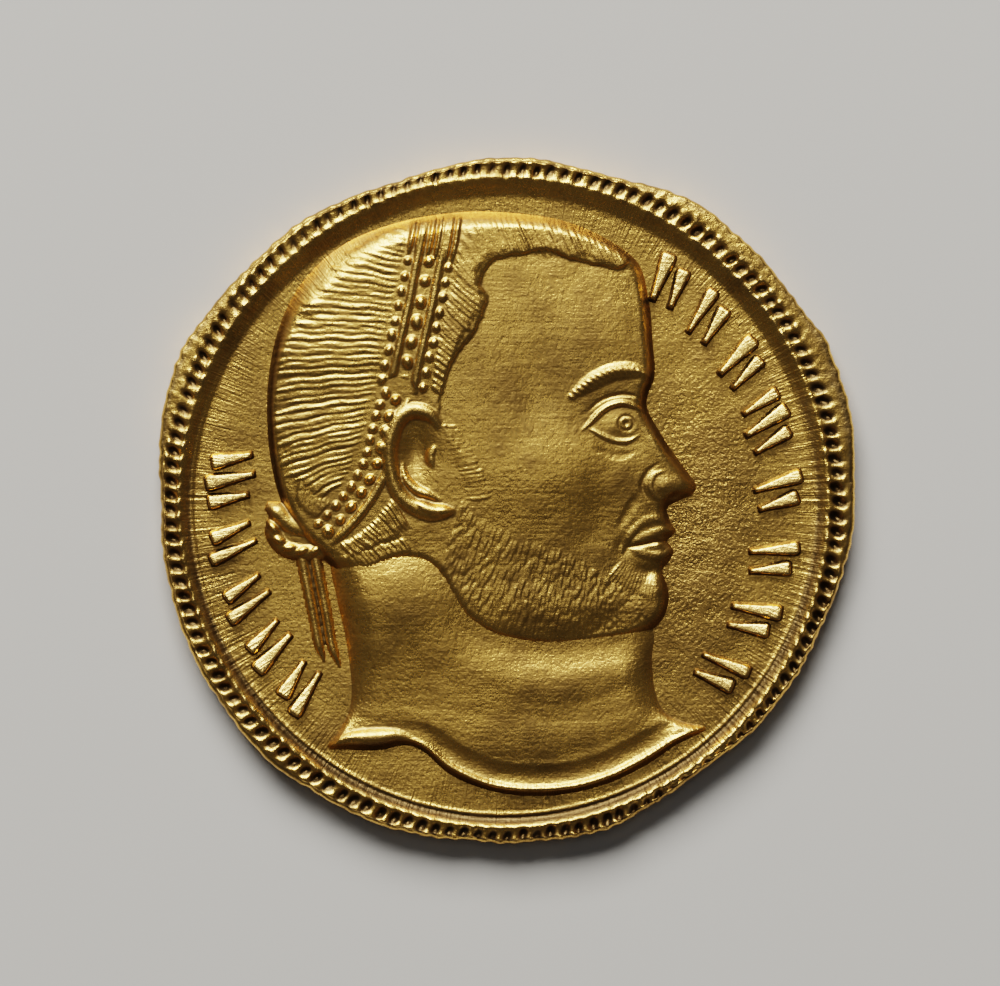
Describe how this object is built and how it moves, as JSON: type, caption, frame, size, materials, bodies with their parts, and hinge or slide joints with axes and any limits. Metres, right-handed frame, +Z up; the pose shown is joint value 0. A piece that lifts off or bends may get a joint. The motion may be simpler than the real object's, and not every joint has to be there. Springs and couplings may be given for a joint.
{
  "type": "gold coin",
  "caption": "Thin struck gold disc with a bearded head in profile inside a ring of pits on one side, and a laurel wreath round a star on the other.",
  "frame": {"origin": "centre of the coin's box seen from above, at the level that it rests on", "axes": "+Z up out of the portrait side, +Y towards the crown of the portrait, +X the way that the face looks"},
  "size_m": [0.0196, 0.0192, 0.0014],
  "materials": {
    "gold": "struck gold, worn satin on the high relief, duller in the field"
  },
  "bodies": {
    "root": {"gold_coin": "gold"}
  },
  "joints": []
}
